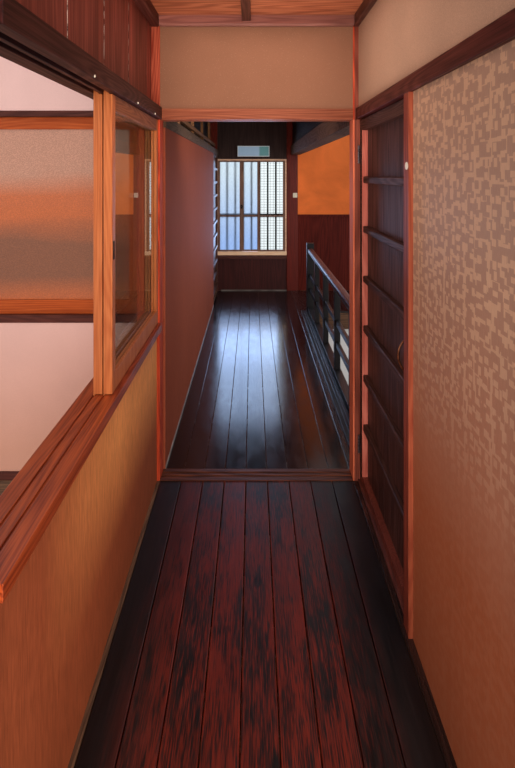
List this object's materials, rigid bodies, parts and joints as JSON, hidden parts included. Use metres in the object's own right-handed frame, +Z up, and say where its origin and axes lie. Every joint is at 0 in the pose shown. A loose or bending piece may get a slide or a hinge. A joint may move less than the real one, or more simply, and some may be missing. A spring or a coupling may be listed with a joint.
{
  "type": "townhouse corridor section",
  "caption": "Upper-floor corridor of an old timber townhouse, with sliding windows, a swinging board door, a stairwell railing and a latticed end window.",
  "frame": {"origin": "on the ground under the floor beams, at the centre of the footprint", "axes": "+X to the right across the corridor, +Y along the corridor from the open near end to the latticed window, +Z up"},
  "size_m": [3.345, 7.09, 2.627],
  "materials": {
    "beam_wood": "sawn, dark",
    "joist_wood": "sawn",
    "near_floor_wood": "polished by wear, glossy",
    "far_floor_wood": "dark polish, glossy",
    "threshold_wood": "worn, dark",
    "post_wood": "planed, oiled",
    "end_post_wood": "planed, dark",
    "plate_wood": "sawn, dark",
    "gold_paper": "silk wallpaper with a fine upright crinkle",
    "sill_wood": "planed, waxed",
    "head_wood": "planed, dark",
    "sash_wood": "planed cedar, satin",
    "clear_glass": "clear",
    "upper_board_wood": "planed, dark",
    "ceiling_wood": "planed cedar",
    "trim_wood": "planed, dark",
    "sand_plaster": "fine sand plaster, matt",
    "mosaic_paper": "wallpaper with small blocks, satin",
    "surround_wood": "planed, dark",
    "door_wood": "varnished, dark",
    "door_board_wood": "varnished, dark",
    "pull_brass": "aged",
    "hinge_brass": "aged, dark",
    "lintel_wood": "planed, waxed",
    "panel_plaster": "sand plaster, matt",
    "brown_paper": "satin wallpaper",
    "rail_wood": "weathered, grey brown",
    "dark_wood": "smoked, nearly black",
    "slatted_wood": "planed, dark",
    "stair_beam_wood": "weathered, grey brown",
    "railing_wood": "dark polish",
    "window_frame_wood": "satin, bronze brown",
    "frosted_glass": "frosted",
    "window_board_wood": "planed, pale",
    "wainscot_wood": "varnished, very dark",
    "orange_plaster": "clay plaster, matt",
    "lattice_wood": "weathered, dark",
    "white_plaster": "lime plaster, matt",
    "partition_wood": "planed, dark",
    "patterned_glass": "patterned, frosted"
  },
  "bodies": {
    "corridor": {"side_floor_beams": "beam_wood", "cross_floor_beams": "beam_wood", "floor_joists": "joist_wood", "near_floor": "near_floor_wood", "far_floor": "far_floor_wood", "portal_threshold": "threshold_wood", "near_posts": "post_wood", "portal_posts": "post_wood", "end_posts": "end_post_wood", "outer_posts": "post_wood", "top_plates": "plate_wood", "tie_beams": "plate_wood", "left_lower_wall": "gold_paper", "window_sill": "sill_wood", "window_head": "head_wood", "corridor_sash": "sash_wood", "room_side_sash": "sash_wood", "sash_glass": "clear_glass", "left_upper_boards": "upper_board_wood", "ceiling_boards": "ceiling_wood", "ceiling_trim": "trim_wood", "right_head": "surround_wood", "right_upper_wall": "sand_plaster", "right_lower_wall": "mosaic_paper", "door_jamb": "surround_wood", "door_sill": "surround_wood", "door_stops": "surround_wood", "post_hinges": "hinge_brass", "portal_lintel": "lintel_wood", "portal_panel": "panel_plaster", "far_left_wall": "brown_paper", "long_wall_rail": "rail_wood", "transom_bar": "dark_wood", "slatted_door": "slatted_wood", "far_upper_boards": "dark_wood", "far_ceiling": "dark_wood", "stair_beam": "stair_beam_wood", "stair_posts": "railing_wood", "stair_rails": "railing_wood", "stair_edge_strip": "railing_wood", "end_window_frame": "window_frame_wood", "end_window_sashes": "window_frame_wood", "end_window_glass": "frosted_glass", "end_window_sill": "window_board_wood", "end_wainscot": "wainscot_wood", "end_upper_wall": "wainscot_wood", "side_end_wall": "orange_plaster", "window_lattice": "lattice_wood", "partition_walls": "white_plaster", "partition_timbers": "partition_wood", "partition_sash": "sash_wood", "partition_glass": "patterned_glass"},
    "board_door": {"door_frame": "door_wood", "door_boards": "door_board_wood", "door_pull": "pull_brass", "door_hinges": "hinge_brass"}
  },
  "joints": [
    {"name": "door_swing", "type": "hinge", "parent": "corridor", "child": "board_door", "pos_m": [0.504, -1.521, 0], "axis": [0, 0, -1], "range_deg": [0, 88]}
  ]
}
